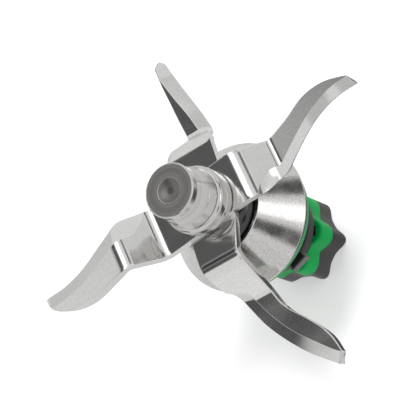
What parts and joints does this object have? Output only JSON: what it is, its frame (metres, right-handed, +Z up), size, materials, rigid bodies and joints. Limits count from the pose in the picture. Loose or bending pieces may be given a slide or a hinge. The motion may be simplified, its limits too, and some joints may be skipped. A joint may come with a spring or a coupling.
{
  "type": "blender blade assembly",
  "caption": "Mixing knife with crossed bent blades, cap nut, cone bearing housing with green seal, and lobed drive coupling",
  "frame": {"origin": "On the shaft's axis, in the plane of the coupling's foot on which the part stands", "axes": "+Z up along the shaft, towards the cap nut; +X along the arm of the upper strip that bends down first"},
  "size_m": [0.1235, 0.12, 0.0853],
  "materials": {
    "blade_steel": "brushed",
    "turned_steel": "brushed",
    "housing_steel": "satin",
    "bearing_steel": "polished",
    "dark_gloss": "gloss",
    "dark_plastic": "matte",
    "green_plastic": "satin",
    "green_rubber": "matte",
    "black_rubber": "matte",
    "cage_plastic": "matte"
  },
  "bodies": {
    "housing": {"bearing_housing": "housing_steel", "seal_ring": "green_rubber", "lip_seal": "black_rubber", "locking_collar": "dark_plastic", "retaining_ring": "bearing_steel", "lower_outer_ring": "bearing_steel", "upper_outer_ring": "bearing_steel", "lower_balls": "bearing_steel", "upper_balls": "bearing_steel", "lower_cage": "cage_plastic", "upper_cage": "cage_plastic", "lower_shields": "bearing_steel", "upper_shields": "bearing_steel"},
    "rotor": {"cap_nut": "turned_steel", "upper_blade": "blade_steel", "lower_blade": "blade_steel", "slinger": "dark_gloss", "drive_shaft": "bearing_steel", "shaft_sleeve": "bearing_steel", "spacer_sleeve": "bearing_steel", "shaft_circlip": "bearing_steel", "coupling_foot": "dark_plastic", "coupling_marker": "green_plastic", "coupling_pin": "bearing_steel", "lower_inner_ring": "bearing_steel", "upper_inner_ring": "bearing_steel"}
  },
  "joints": [
    {"name": "spin", "type": "hinge", "parent": "housing", "child": "rotor", "pos_m": [0, 0, 0], "axis": [0, 0, 1], "continuous": true}
  ]
}
